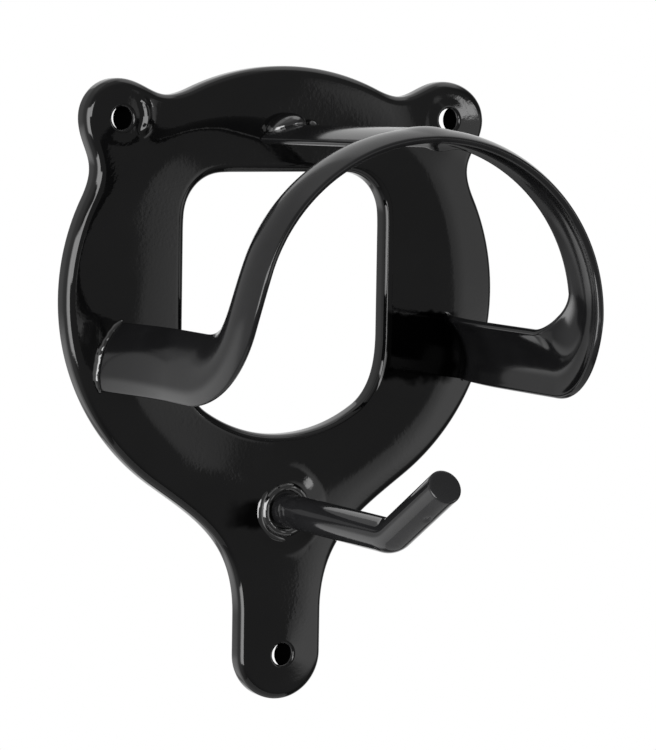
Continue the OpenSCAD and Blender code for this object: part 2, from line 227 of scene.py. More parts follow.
def seat_level(p, h):
    """Presses faint seats round the upper holes into a face of height h, and raises a lip
    beside the left one: a bell-shaped ridge on its right."""
    dx = np.where(p[..., 0] < 0, p[..., 0] + HOLE_X, p[..., 0] - HOLE_X)
    dz = p[..., 1]
    r, way = np.hypot(dx, dz), np.degrees(np.arctan2(dz, dx))
    side = ease((LIP_TOP - way) / LIP_TOP_FADE) * ease((way + LIP_FOOT) / LIP_FOOT_FADE)
    side = side * (p[..., 0] < 0)
    lip = LIP_H * side * np.exp(-((r - SEAT_R - LIP_OFF - LIP_TURN * way) / LIP_W) ** 2)
    return h - SEAT_SHARE * SEAT_DEPTH * ease((SEAT_R - r) / SEAT_EDGE + 0.5) + lip


def build_plate():
    """Stations run round the outline at even spacing. At each, the section is carried from the
    wall up the outer bend, over the crowned face, down the inner bend to the wall, and back
    along the hollow side a sheet's thickness below. Each screw hole replaces a block of cells
    by rings that run from the block's edge to the hole's circle."""
    stations, face_rows, bend_rows, block = 640, 42, 9, 10.6
    fine = np.radians(180 + np.linspace(0, 360, 14401))
    outline = edge_points(plate_field, fine)
    steps = np.linalg.norm(np.diff(outline, axis=0), axis=1)
    run = np.concatenate([[0], np.cumsum(steps)])
    angles = np.interp(np.arange(stations) * run[-1] / stations, run, fine)
    outer, inner = edge_points(plate_field, angles), edge_points(open_field, angles)
    to_in, to_out = -edge_normals(plate_field, outer), edge_normals(open_field, inner)
    start, end = outer + to_in * BEND_R, inner + to_out * BEND_R
    straight, turn = WALL_H - BEND_R, BEND_R - PLATE_T
    # Distance in from an edge and height: round the foot at the wall and up the hollow side.
    foot = ((FOOT_NEAR, FOOT_NEAR), (FOOT_R, 0), (PLATE_T - FOOT_R, 0),
            (PLATE_T - FOOT_NEAR, FOOT_NEAR), (PLATE_T, FOOT_R), (PLATE_T, straight))
    rows, heights = [], []

    def add(p, h):
        rows.append(p)
        heights.append(np.broadcast_to(h, (stations,)))

    bends = np.radians(np.linspace(0, 90, bend_rows))
    for h in (FOOT_R, 1.2, 2.1):
        add(outer, h * (1 + np.minimum(crown(outer), 0) / straight))
    for b in bends:
        p = outer + to_in * BEND_R * (1 - np.cos(b))
        add(p, straight + BEND_R * np.sin(b) + crown(p))
    face_first = len(rows) - 1
    for f in np.linspace(0, 1, face_rows + 2)[1:-1]:
        p = start + (end - start) * f
        add(p, seat_level(p, WALL_H + crown(p)))
    for b in bends[::-1]:
        p = inner + to_out * BEND_R * (1 - np.cos(b))
        add(p, straight + BEND_R * np.sin(b) + crown(p))
    for h in (2.1, 1.2, FOOT_R):
        add(inner, h)
    for q, h in foot:
        add(inner + to_out * q, h)
    for b in np.radians([30, 60]):
        p = inner + to_out * (PLATE_T + turn * (1 - np.cos(b)))
        add(p, straight + turn * np.sin(b) + crown(p))
    back_first = len(rows)
    for f in np.linspace(0, 1, face_rows + 2)[::-1]:
        p = start + (end - start) * f
        add(p, seat_level(p, WALL_H + crown(p)) - PLATE_T)
    for b in np.radians([60, 30]):
        p = outer + to_in * (PLATE_T + turn * (1 - np.cos(b)))
        add(p, straight + turn * np.sin(b) + crown(p))
    for q, h in foot[::-1]:
        add(outer + to_in * q, h)

    flat, high = np.array(rows), np.array(heights)
    index = numbered(flat)
    points = [np.stack([flat[..., 0], -high, flat[..., 1]], axis=-1).reshape(-1, 3)]
    keep = np.ones(index.shape, bool)
    quads, count = [], index.size

    for cx, cz in ((-HOLE_X, 0.0), (HOLE_X, 0.0), (0.0, -HOLE_DROP)):
        centre = np.array([cx, cz])
        face = flat[face_first:face_first + face_rows + 2]
        near = np.linalg.norm(face - centre, axis=-1) < block
        cols = np.where(near.any(axis=0))[0]
        if cols[-1] - cols[0] > stations / 2:
            cols = np.sort((cols + stations // 2) % stations) - stations // 2
        used = np.arange(cols[0] - 1, cols[-1] + 2) % stations
        lines = np.where(near.any(axis=1))[0]
        top, low = max(lines[0] - 1, 0), lines[-1] + 1
        front = index[face_first:face_first + face_rows + 2][:, used]
        back = index[back_first:back_first + face_rows + 2][::-1][:, used]
        keep[np.ix_(np.arange(face_first + top, face_first + low), used[:-1])] = False
        last = back_first + face_rows + 1
        keep[np.ix_(np.arange(last - low, last - top), used[:-1])] = False

        def loop_of(grid):
            g = grid[top:low + 1]
            return np.concatenate([g[0, :-1], g[:-1, -1], g[-1, :0:-1], g[:0:-1, 0]])

        loop_front, loop_back = loop_of(front), loop_of(back)
        edge = points[0][loop_front][:, [0, 2]] - centre
        far = np.linalg.norm(edge, axis=1, keepdims=True)
        way = edge / far
        rings, ring_heights = [], []

        def ring(r, drop, side):
            p = centre + way * r
            rings.append(p)
            ring_heights.append(seat_level(p, WALL_H + crown(p)) - side * PLATE_T - drop)

        outside = HOLE_R + RIM_R
        for s in np.linspace(0, 1, 31)[1:]:
            ring(far + (outside - far) * s, 0.0, 0)
        for b in np.radians([18, 36, 54, 72, 90]):
            ring(HOLE_R + RIM_R * (1 - np.sin(b)), RIM_R * (1 - np.cos(b)), 0)
        ring(HOLE_R, -BACK_RIM_R, 1)
        ring(HOLE_R + BACK_RIM_R * 0.3, -BACK_RIM_R * 0.3, 1)
        for s in np.linspace(1, 0, 7)[:-1]:
            ring(far + (HOLE_R + BACK_RIM_R - far) * s, 0.0, 1)
        p, h = np.array(rings), np.array(ring_heights)
        points.append(np.stack([p[..., 0], -h, p[..., 1]], axis=-1).reshape(-1, 3))
        inside = count + numbered(p)
        count += h.size
        rims = np.concatenate([loop_front[None], inside, loop_back[None]])
        quads.append(grid_quads(rims, wrap_cols=True))

    whole = grid_quads(index, wrap_rows=True, wrap_cols=True)
    quads.append(whole[keep.reshape(-1)])
    return make_piece("ring_plate", np.concatenate(points), np.concatenate(quads))


# Bridle arch

def vault(s, depth, inset):
    """Lays the flat strip over the arch: s runs from the crown round the side and then straight
    down, and a leg is carried outwards by its splay."""
    side, run = np.sign(s), np.abs(s)
    turn = np.minimum(run / HALF_TURN, 1) * math.pi / 2
    x = (ARCH_RX - inset) * np.sin(turn)
    z = ARCH_Z + (ARCH_RZ - inset) * np.cos(turn) - np.maximum(run - HALF_TURN, 0)
    x = x + splay(depth) * ease((run - HALF_TURN + 12) / 12)
    return np.stack([side * x, -depth + 0 * x, z], axis=-1)


def splay(depth):
    """How far a leg has spread outwards at a depth in front of the wall: a parabola that starts
    the splay's run from the face."""
    return LEG_SPLAY * np.clip(1 - (depth - FACE_H) / SPLAY_RUN, 0, 1.1) ** 2


def fall(d, r):
    """Drop of a circle of radius r at the distance d from its crest, carried on straight past
    four fifths of r."""
    c = np.minimum(np.abs(d), r * 0.8)
    return r - np.sqrt(r * r - c * c) + (np.abs(d) - c) * 4 / 3


def crest_blend(side_fall, s, depth):
    """Runs the strap's ridge into the band: behind the band's crest the two falls are blended,
    and before it the blend fades."""
    ahead = np.clip((depth - BAND_MID) / (BAND_W / 2), 0, 1)
    slope = STRAP_FALL * np.maximum(BAND_REAR - depth, 0) / (BAND_REAR - FACE_H)
    ridge = fall(s, STRAP_DISH_R) + slope + np.where(depth > BAND_MID, side_fall, 0)
    return soft_min(side_fall, ridge, RIDGE_SOFT * (1 - ease(ahead)) + 1e-6)


def half_line(corner_r, window_r, counts):
    """The strip's edges from the crown to one root, laid flat: the front edge's and the rear
    edge's places along the arch, their depths, and how far each station is a leg. counts holds
    the stations beside the strap, along the band, round the corner and along the leg."""
    near, band, turn, leg = counts
    corner = STRAP_HALF + STRAP_FILLET
    leg_low, leg_high = HALF_TURN + ARCH_Z - LEG_BOTTOM_Z, HALF_TURN + ARCH_Z - LEG_TOP_Z
    front_turn, rear_turn = leg_low - corner_r, leg_high - window_r
    rear = np.concatenate([np.linspace(0, corner, near + 1),
                           np.linspace(corner, rear_turn, band + 1)[1:]])
    extra = np.clip((rear - corner) / (rear_turn - corner), 0, 1)
    front = rear + (front_turn - rear_turn) * extra ** 2
    q = np.radians(90 * np.arange(1, turn + 1) / turn)
    f = np.arange(1, leg + 1) / leg

    def along(first, start, r, end):
        return np.concatenate([first, start + r * np.sin(q), np.full(leg, end)])

    def deep(start, r):
        return np.concatenate([np.full(rear.size, start), start - r * (1 - np.cos(q)),
                               (start - r) * (1 - f) + ROOT_H * f])

    lean = np.concatenate([np.zeros(rear.size), (1 - np.cos(2 * q)) / 2, np.ones(leg)])
    return (along(front, front_turn, corner_r, leg_low),
            along(rear, rear_turn, window_r, leg_high),
            deep(ARCH_REACH, corner_r), deep(BAND_REAR, window_r), lean)


def build_arch():
    """The outer surface is two patches that share a border: a strip that runs from root to root
    by way of both front corners and the band, and the strap. The inner surface lies a sheet's
    thickness along the normals, and rounded rims close the edges."""
    rim = ARCH_RIM_R
    tilt_full = math.asin(BAND_W / 2 / DISH_R)
    rim_tilt = rim / DISH_R
    border = BAND_MID - DISH_R * math.sin(tilt_full - rim_tilt)
    trim = border - BAND_REAR
    near, swing_rows, strap_rows = 24, 19, 70
    counts = (near, 84, 44, 40)
    left = half_line(LEFT_CORNER_R, LEFT_WINDOW_R, counts)
    right = half_line(RIGHT_CORNER_R, RIGHT_WINDOW_R, counts)
    a0, a1, d0, d1, lean = (np.concatenate([sign * lhs[:0:-1], rhs])
                            for sign, lhs, rhs in zip((-1, -1, 1, 1, 1), left, right))
    across, width = np.stack([a1 - a0, d1 - d0], axis=-1), np.hypot(a1 - a0, d1 - d0)
    across = across / width[:, None]
    middle = np.stack([(a0 + a1) / 2, (d0 + d1) / 2], axis=-1)
    full = np.arcsin(width / 2 / DISH_R)[:, None]
    v = np.linspace(-1, 1, 27)[None] * (1 - rim_tilt / full)
    tilt = full * v
    at = middle[:, None] + across[:, None] * (DISH_R * np.sin(tilt))[..., None]
    inset = DISH_R * (1 - np.cos(tilt))
    blended = crest_blend(inset, at[..., 0], at[..., 1])
    inset = np.where(np.abs(at[..., 0]) < RIDGE_HALF, blended, inset)
    inset = inset + lean[:, None] * (LEG_SET + LEG_LEAN * v / 2)
    strip = vault(at[..., 0], at[..., 1], inset)

    u = np.linspace(-1, 1, 2 * near + 1)[None]
    bow = STRAP_FILLET + trim
    swing = np.radians(np.linspace(90, 0, swing_rows))
    behind = np.linspace(BAND_REAR - STRAP_FILLET, ROOT_H, strap_rows + 1)[1:]
    depth = np.concatenate([BAND_REAR - STRAP_FILLET + bow * np.sin(swing), behind])
    widest = STRAP_HALF + STRAP_FILLET
    half = np.concatenate([widest - bow * np.cos(swing), np.full(strap_rows, widest - bow)])
    x = u * half[:, None]
    deep = np.broadcast_to(depth[:, None], x.shape)
    strap = vault(x, deep, crest_blend(fall(BAND_MID - deep, DISH_R), x, deep))

    mid = (strip.shape[0] - 1) // 2
    strip_index = numbered(strip)
    strap_index = strip_index.size + numbered(strap)
    strap_index[0] = strip_index[mid - near:mid + near + 1, -1]
    outer = np.concatenate([strip.reshape(-1, 3), strap.reshape(-1, 3)])
    skin = np.concatenate([grid_quads(strip_index), grid_quads(strap_index)[:, ::-1]])
    normal = np.zeros_like(outer)
    face_n = np.cross(outer[skin[:, 2]] - outer[skin[:, 0]],
                      outer[skin[:, 3]] - outer[skin[:, 1]])
    for k in range(4):
        np.add.at(normal, skin[:, k], face_n)
    normal = unit(normal)
    away = outer - np.array([0, 0, ARCH_Z])
    normal *= np.where((normal * away * [1, 0, 1]).sum(axis=1) < 0, -1, 1)[:, None]
    inner = outer - normal * ARCH_T
    points, quads = [outer, inner], [skin, skin[:, ::-1] + len(outer)]
    count = 2 * len(outer)

    def add_rim(chain, inward):
        """Carries a rounded edge along a chain of border vertices; inward holds a neighbour of
        each inside the sheet."""
        nonlocal count
        p, n = outer[chain], normal[chain]
        along = np.gradient(p, axis=0)
        out = unit(np.cross(along, n))
        out *= np.where(((p - outer[inward]) * out).sum(axis=1) < 0, -1, 1)[:, None]
        rows = [p + out * rim * math.sin(b) - n * rim * (1 - math.cos(b))
                for b in np.radians([15, 30, 45, 60, 75, 90])]
        rows += [p + out * rim * math.cos(b) - n * (ARCH_T - rim + rim * math.sin(b))
                 for b in np.radians([0, 15, 30, 45, 60, 75])]
        points.append(np.concatenate(rows))
        number = count + np.arange(len(rows) * len(chain)).reshape(len(rows), len(chain))
        count += number.size
        loops = np.concatenate([np.array(chain)[None], number, np.array(chain)[None] + len(outer)])
        quads.append(grid_quads(loops))
        return loops

    def side_chain(stations, joint, edge, next_in):
        """A side's border, along the strip's rear edge and down the strap, and its neighbours
        inside the sheet."""
        chain = np.concatenate([strip_index[stations, -1], strap_index[:, edge]])
        inward = np.concatenate([strip_index[stations, -2], [strip_index[joint, -2]],
                                 strap_index[1:, next_in]])
        return chain, inward

    front_rim = add_rim(strip_index[:, 0], strip_index[:, 1])
    left_rim = add_rim(*side_chain(slice(None, mid - near), mid - near, 0, 1))
    right_rim = add_rim(*side_chain(slice(None, mid + near, -1), mid + near, -1, -2))
    size = len(outer)
    caps = []
    for line, side_rim, end in ((strip_index[0], left_rim, 0), (strip_index[-1], right_rim, -1)):
        caps.append(list(line) + list(side_rim[1:-1, 0]) + list(line[::-1] + size)
                    + list(front_rim[1:-1, end][::-1]))
    root = strap_index[-1]
    caps.append(list(root) + list(right_rim[1:-1, -1]) + list(root[::-1] + size)
                + list(left_rim[1:-1, -1][::-1]))
    return make_piece("dished_arch", np.concatenate(points), np.concatenate(quads), caps)


# Rein hook

def hook_path(run):
    """The bar's axis: straight out of the plate, round the bend, then straight up to the tip,
    by distance from the plate's face."""
    cut = HOOK_BEND * math.tan(HOOK_ANGLE / 2)
    first, arc = HOOK_VERTEX - cut - FACE_H, HOOK_BEND * HOOK_ANGLE
    angle = np.clip((run - first) / HOOK_BEND, 0, HOOK_ANGLE)
    rest = np.maximum(run - first - arc, 0)
    y = (-FACE_H - np.minimum(run, first) - HOOK_BEND * np.sin(angle)
         - rest * math.cos(HOOK_ANGLE))
    z = -HOOK_DROP + HOOK_BEND * (1 - np.cos(angle)) + rest * math.sin(HOOK_ANGLE)
    return y, z, angle


def build_hook():
    """A circle carried along the bar's axis, with a rounded edge, a flat end and a small nick
    below the tip."""
    cut = HOOK_BEND * math.tan(HOOK_ANGLE / 2)
    total = HOOK_VERTEX - cut - FACE_H + HOOK_BEND * HOOK_ANGLE + HOOK_TIP - cut
    bar_rows, end_rows, edge = 190, 6, 0.7
    around = np.radians(np.arange(0, 360, 360 / 112))
    turn = np.radians([0, 22, 45, 68, 90])
    run = np.concatenate([np.linspace(ROOT_H - FACE_H, total - edge, bar_rows)[:-1],
                          total - edge + edge * np.sin(turn), np.full(end_rows, total)])
    radius = np.concatenate([np.full(bar_rows - 1, HOOK_D / 2),
                             HOOK_D / 2 - edge * (1 - np.cos(turn)),
                             np.linspace(4.6, 0.05, end_rows)])
    y, z, angle = hook_path(run)
    up, side = np.cos(around)[None], np.sin(around)[None]
    r = radius[:, None] + 0 * up
    gap = np.hypot((run[:, None] - (total - NICK_BACK)) / NICK_LONG,
                   (np.degrees(around)[None] - NICK_ANGLE) / NICK_WIDE)
    r = r - NICK_DEEP * np.exp(-gap ** 2) * (radius[:, None] > 5.9)
    x = r * side
    ny, nz = np.sin(angle)[:, None], np.cos(angle)[:, None]
    points = np.stack([x, y[:, None] + r * up * ny, z[:, None] + r * up * nz], axis=-1)
    index = numbered(points)
    quads = grid_quads(index, wrap_cols=True)
    return make_piece("hook_bar", points.reshape(-1, 3), quads, [index[0][::-1], index[-1]])


# Welds

def build_hook_weld():
    """A ring bead round the bar, laid in two runs: a tall inner dome and a low outer one that
    is higher on the left, both slightly uneven round the bar. A narrow groove parts it from
    the bar."""
    around = np.linspace(0, 2 * math.pi, 260, endpoint=False)[:, None]
    r = np.linspace(6.2, 12.6, 72)[None] + 0 * around
    uneven = 0.12 * np.sin(3 * around + 0.6) + 0.05 * np.sin(9 * around)
    left = 0.5 - 0.5 * np.sin(around)

    def dome(middle, half, tall):
        q = np.clip(np.abs(r - middle) / half, 0, 1)
        return tall * np.sqrt(1 - q ** 2.2)

    inner_tall = 3.0 + 0.15 * np.sin(2 * around + 1.1) + 0.05 * np.sin(11 * around + 0.4)
    outer_tall = 0.6 + 1.4 * left + 0.15 * np.sin(4 * around + 1)
    inner = dome(8.1 + uneven, 1.75, inner_tall)
    outer = dome(10.3 + 0.8 * uneven + 0.25 * np.sin(around - 0.6), 1.9, outer_tall)
    out = soft_max(inner, outer, 0.35) - 0.1
    points = np.stack([r * np.sin(around), -ROOT_H - out, -HOOK_DROP + r * np.cos(around)],
                      axis=-1)
    index = numbered(points)
    quads = np.concatenate([grid_quads(index, wrap_rows=True),
                            grid_quads(index[:, [-1, 0]], wrap_rows=True)])
    return make_piece("hook_ring_bead", points.reshape(-1, 3), quads)


def leg_root(v, out):
    """A point in the plane of the leg's root: v runs from the lower to the upper edge, out is
    the distance off the sheet."""
    tilt = math.asin(LEG_W / 2 / DISH_R) * v
    z = (LEG_TOP_Z + LEG_BOTTOM_Z) / 2 + (DISH_R + out) * np.sin(tilt)
    inset = DISH_R - (DISH_R + out) * np.cos(tilt) + LEG_SET + LEG_LEAN * v / 2
    return ARCH_RX - inset + LEG_SPLAY, z


def build_leg_weld(name, side):
    """A fillet bead carried along the outside of the dished root: a quarter of an ellipse,
    broader at the top, sunk 0.3 mm into the sheet, with closed ends."""
    sunk = 0.3
    v = np.linspace(-1.06, 1.06, 110)[:, None]
    b = np.radians(np.linspace(0, 90, 17))[None]
    close = np.sqrt(np.clip(1 - (np.abs(v) / 1.065) ** 6, 0.02, 1))
    wide = (1.6 + 0.2 * v + 0.12 * np.sin(9 * v) + 0.06 * np.sin(31 * v + 1)) * close
    tall = (2.4 + 0.2 * np.sin(5 * v + 2) + 0.06 * np.sin(27 * v)) * close
    x, z = leg_root(v, wide * np.sin(b) - sunk)
    y = -ROOT_H - tall * np.cos(b)
    points = np.stack([side * x, y + 0 * x, z], axis=-1)
    index = numbered(points)
    corner = index.size + np.arange(len(v))
    cx, cz = leg_root(v, -sunk + 0 * v)
    edge = np.stack([side * cx, np.full_like(cx, -ROOT_H), cz], axis=-1).reshape(-1, 3)
    loops = np.concatenate([corner[:, None], index], axis=1)
    return make_piece(name, np.concatenate([points.reshape(-1, 3), edge]),
                      grid_quads(loops, wrap_cols=True), [loops[0], loops[-1][::-1]])


def build_strap_bead(name, middle, long, up, out):
    """A lump of weld in the corner over the strap's root: an uneven ellipsoid of half sizes
    long, up and out. It is moved a little out and up, and flattened inside the plate and the
    strap."""
    turn = np.linspace(0, 2 * math.pi, 120, endpoint=False)[None]
    lat = np.radians(np.linspace(-89.5, 89.5, 70))[:, None]
    x, z, y = np.sin(lat) + 0 * turn, np.cos(lat) * np.cos(turn), np.cos(lat) * np.sin(turn)
    lumpy = 1 + 0.03 * np.sin(3.2 * x + 2.1 * z + middle)
    s = middle + long * x * lumpy
    inset = crest_blend(fall(BAND_MID - FACE_H, DISH_R) + 0 * s, s, FACE_H + 0 * s)
    depth = np.maximum(FACE_H + out * (y * lumpy + 0.25), FACE_H - 1.5)
    points = vault(s, depth, inset - up * np.maximum(z * lumpy + 0.15, -0.3))
    index = numbered(points)
    quads = grid_quads(index, wrap_cols=True)
    return make_piece(name, points.reshape(-1, 3), quads, [index[0][::-1], index[-1]])


# Finishes

def math_node(nodes, links, operation, *inputs):
    """A Math node's result; each input is a number or another node's output."""
    node = nodes.new("ShaderNodeMath")
    node.operation = operation
    for socket, value in zip(node.inputs, inputs):
        if isinstance(value, (int, float)):
            socket.default_value = value
        else:
            links.new(value, socket)
    return node.outputs[0]


def smooth_range(nodes, links, value, low, high, to_low=0.0, to_high=1.0):
    """Goes smoothly from to_low to to_high as value goes from low to high, or the other way
    round where low is above high."""
    if low > high:
        low, high, to_low, to_high = high, low, to_high, to_low
    node = nodes.new("ShaderNodeMapRange")
    node.interpolation_type = "SMOOTHSTEP"
    links.new(value, node.inputs["Value"])
    for name, number in (("From Min", low), ("From Max", high),
                         ("To Min", to_low), ("To Max", to_high)):
        node.inputs[name].default_value = number
    return node.outputs[0]


def group_node(nodes, links, kind, inputs=None, **settings):
    """A node of a kind with its settings, and its inputs either set to numbers or linked to
    other nodes' outputs."""
    node = nodes.new("ShaderNode" + kind)
    for name, value in settings.items():
        setattr(node, name, value)
    for name, value in (inputs or {}).items():
        if isinstance(value, bpy.types.NodeSocket):
            links.new(value, node.inputs[name])
        else:
            node.inputs[name].default_value = value
    return node


def makers(tree):
    """math_node, smooth_range and group_node for one node tree."""
    return [partial(maker, tree.nodes, tree.links)
            for maker in (math_node, smooth_range, group_node)]


def object_place(tree):
    """The object coordinates in a node tree, in metres."""
    return tree.nodes.new("ShaderNodeTexCoord").outputs["Object"]


def new_group(name, inputs, outputs):
    """An empty shader node group with number sockets: its tree, its inputs by name, and the
    node that takes its outputs."""
    tree = bpy.data.node_groups.new(name, "ShaderNodeTree")
    for label, default in inputs:
        socket = tree.interface.new_socket(name=label, in_out="INPUT",
                                           socket_type="NodeSocketFloat")
        socket.default_value = default
    for label in outputs:
        tree.interface.new_socket(name=label, in_out="OUTPUT", socket_type="NodeSocketFloat")
    return tree, tree.nodes.new("NodeGroupInput").outputs, tree.nodes.new("NodeGroupOutput")


def build_orange_peel():
    """The coat's orange peel: soft cells of about Cell metres, and finer ones over them, strong
    in some patches and faint in others. Height is in cells' depths."""
    tree, given, result = new_group(
        "orange_peel", [("Cell", 0.0015), ("Patch", 0.02), ("Least", 0.3)], ["Height", "Strong"])
    (m, s, g), where = makers(tree), object_place(tree)

    def noise(scale, detail, rough):
        return g("TexNoise", {"Vector": where, "Scale": scale, "Detail": detail,
                              "Roughness": rough}).outputs["Fac"]

    coarse = noise(m("DIVIDE", 1.0, given["Cell"]), 1.0, 0.4)
    fine = noise(m("DIVIDE", 2.7, given["Cell"]), 0.0, 0.5)
    patches = noise(m("DIVIDE", 1.0, given["Patch"]), 2.0, 0.6)
    strong = s(patches, 0.42, 0.6)
    depth = m("MULTIPLY_ADD", strong, m("SUBTRACT", 1.0, given["Least"]), given["Least"])
    height = m("MULTIPLY", m("MULTIPLY_ADD", fine, 0.25, coarse), depth)
    tree.links.new(height, result.inputs["Height"])
    tree.links.new(strong, result.inputs["Strong"])
    return tree


def build_dust():
    """Dust nibs under the coat: small round bumps at scattered points, of about Spacing metres,
    of which only a few show."""
    tree, given, result = new_group(
        "dust_nibs", [("Spacing", 0.006), ("Size", 0.16), ("Share", 0.25)], ["Mask"])
    (m, s, g), where = makers(tree), object_place(tree)
    cells = g("TexVoronoi", {"Vector": where, "Scale": m("DIVIDE", 1.0, given["Spacing"])})
    pick = g("SeparateColor", {"Color": cells.outputs["Color"]})
    near = m("SUBTRACT", 1.0, m("DIVIDE", cells.outputs["Distance"], given["Size"]))
    shown = m("LESS_THAN", pick.outputs[0], given["Share"])
    tree.links.new(m("MULTIPLY", s(near, 0.0, 1.0), shown), result.inputs["Mask"])
    return tree


def build_coat_tone():
    """Slow changes of the coat over Run metres, from 0 to 1, for its tone and gloss."""
    tree, given, result = new_group("coat_tone", [("Run", 0.03)], ["Value"])
    (m, s, g), where = makers(tree), object_place(tree)
    slow = g("TexNoise", {"Vector": where, "Scale": m("DIVIDE", 1.0, given["Run"]),
                          "Detail": 4.0, "Roughness": 0.6})
    tree.links.new(s(slow.outputs["Fac"], 0.3, 0.7), result.inputs["Value"])
    return tree


ORANGE_PEEL, DUST_NIBS, COAT_TONE = build_orange_peel(), build_dust(), build_coat_tone()

# Patches of painted shade and painted dark reflection, where the coat's tone and specular level
# are cut: how much is lost there, the noise that makes their edges ragged and its reach in metres.
PAINTED_DARK_SHARE, RAGGED_SCALE, RAGGED_REACH = 0.88, 130.0, 0.009
# A patch is a tuple of bounds: the axis, the places where it starts and is whole, and the
# places up to which it stays whole and where it ends, in metres. These two lie on the plate
# beside the right leg's root and left of the hook, and the third on that root; all three paint
# shade and dark reflections.
PLATE_PAINTED_DARK = (((0, 0.037, 0.041, 0.067, 0.070), (1, -0.02, -0.019, -0.0068, -0.0060),
               (2, -0.0950, -0.0920, -0.0700, -0.0685)),
              ((0, -0.026, -0.013, -0.006, -0.002), (1, -0.02, -0.019, -0.0072, -0.0060),
               (2, -0.1450, -0.1410, -0.1370, -0.1330)))
ARCH_PAINTED_DARK = (((0, 0.04, 0.05, 0.1, 0.2), (1, -0.020, -0.014, 0.02, 0.03)),)


def gloss_black(name, cell, patch, least, peel, nib, tone, gloss, painted_dark=(), ior=1.5):
    """Gloss black powder coat. cell, patch and least set its orange peel, peel and nib are the
    depths in metres of the peel and the dust nibs, tone and gloss are the ends of its tone and
    roughness, and the patches given after gloss are painted shade and painted dark reflections."""
    material = bpy.data.materials.new(name)
    material.use_nodes = True
    tree = material.node_tree
    shader = tree.nodes["Principled BSDF"]
    shader.inputs["IOR"].default_value = ior
    m, s, g = makers(tree)

    def placed(group, **values):
        return g("Group", values, node_tree=group)

    skin = placed(ORANGE_PEEL, Cell=cell, Patch=patch, Least=least)
    dust = placed(DUST_NIBS, Spacing=0.009, Size=0.05, Share=0.3)
    slow = placed(COAT_TONE, Run=0.03)
    rough = m("MULTIPLY_ADD", skin.outputs["Strong"], 0.02,
              s(slow.outputs["Value"], 0.0, 1.0, *gloss))
    tree.links.new(m("MULTIPLY_ADD", dust.outputs["Mask"], 0.1, rough), shader.inputs["Roughness"])
    grey = s(slow.outputs["Value"], 0.0, 1.0, *tone)
    # Painted shade and painted dark reflections: inside each patch the base tone and the specular
    # level are cut.
    if painted_dark:
        where = object_place(tree)
        split = g("SeparateXYZ", {"Vector": where})
        ragged = g("TexNoise", {"Vector": where, "Scale": RAGGED_SCALE, "Detail": 2.0})
        ragged = m("MULTIPLY_ADD", ragged.outputs["Fac"], RAGGED_REACH, -RAGGED_REACH / 2)
        shine = 1.0
        for bounds in painted_dark:
            lost = -PAINTED_DARK_SHARE
            for axis, start, whole, still, end in bounds:
                place = split.outputs[axis]
                if axis != 1:
                    place = m("ADD", ragged, place)
                for low, high in ((start, whole), (end, still)):
                    lost = m("MULTIPLY", s(place, low, high), lost)
            shine = m("MULTIPLY", m("ADD", lost, 1.0), shine)
        grey = m("MULTIPLY", grey, shine)
        tree.links.new(m("MULTIPLY", shine, 0.5), shader.inputs["Specular IOR Level"])
    colour = g("CombineColor", {"Red": grey, "Green": grey, "Blue": m("MULTIPLY", grey, 1.06)})
    tree.links.new(colour.outputs["Color"], shader.inputs["Base Color"])
    peel_bump = g("Bump", {"Strength": 1.0, "Distance": peel, "Height": skin.outputs["Height"]})
    nib_bump = g("Bump", {"Strength": 1.0, "Distance": nib, "Height": dust.outputs["Mask"],
                          "Normal": peel_bump.outputs["Normal"]})
    tree.links.new(nib_bump.outputs["Normal"], shader.inputs["Normal"])
    return material


# All four coats are one black paint. The arch's tone and, more so, the bar's are set lighter than
# the plate's: painted light for how bright these parts look under the lamps.
sheet_coat = gloss_black("sheet_black_coat", cell=0.0012, patch=0.025, least=0.3, peel=1.6e-5,
                         nib=3e-5, tone=(0.0020, 0.0028), gloss=(0.035, 0.06), painted_dark=PLATE_PAINTED_DARK)
arch_coat = gloss_black("arch_black_coat", cell=0.003, patch=0.03, least=0.3, peel=1.0e-5,
                        nib=3e-5, tone=(0.0065, 0.0095), gloss=(0.11, 0.16), painted_dark=ARCH_PAINTED_DARK)
bar_coat = gloss_black("bar_black_coat", cell=0.0019, patch=0.02, least=0.4, peel=1.8e-5,
                       nib=3e-5, tone=(0.012, 0.017), gloss=(0.05, 0.08))
weld_coat = gloss_black("weld_black_coat", cell=0.0014, patch=0.008, least=0.5, peel=2.4e-5,
                        nib=4e-5, tone=(0.002, 0.004), gloss=(0.05, 0.09), ior=2.0)

plate, arch, hook = build_plate(), build_arch(), build_hook()
for piece, node, slot, coat in (
        (plate, "back_plate", "coated_sheet", sheet_coat),
        (arch, "bridle_arch", "coated_sheet", arch_coat),
        (hook, "rein_hook", "coated_bar", bar_coat),
        (build_hook_weld(), "hook_weld", "coated_weld", weld_coat),
        (build_leg_weld("left_leg_bead", -1), "left_leg_weld", "coated_weld", weld_coat),
        (build_leg_weld("right_leg_bead", 1), "right_leg_weld", "coated_weld", weld_coat),
        (build_strap_bead("strap_crown_bead", middle=-2.8, long=7.3, up=3.7, out=6.0),
         "strap_weld", "coated_weld", weld_coat),
        (build_strap_bead("strap_side_tack", middle=8.8, long=2.9, up=3.3, out=2.8),
         "strap_tack", "coated_weld", weld_coat)):
    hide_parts(node)
    piece.data.materials.append(coat)
# The photograph shows no mirror image of the bar in the plate.
hook.visible_glossy = False


# Stage, light and camera

def stage_material(name, build):
    """A stage material whose surface is made by build from its nodes and links."""
    material = bpy.data.materials.new(name)
    material.use_nodes = True
    nodes, links = material.node_tree.nodes, material.node_tree.links
    nodes.clear()
    output = nodes.new("ShaderNodeOutputMaterial")
    links.new(build(nodes, links), output.inputs["Surface"])
    return material


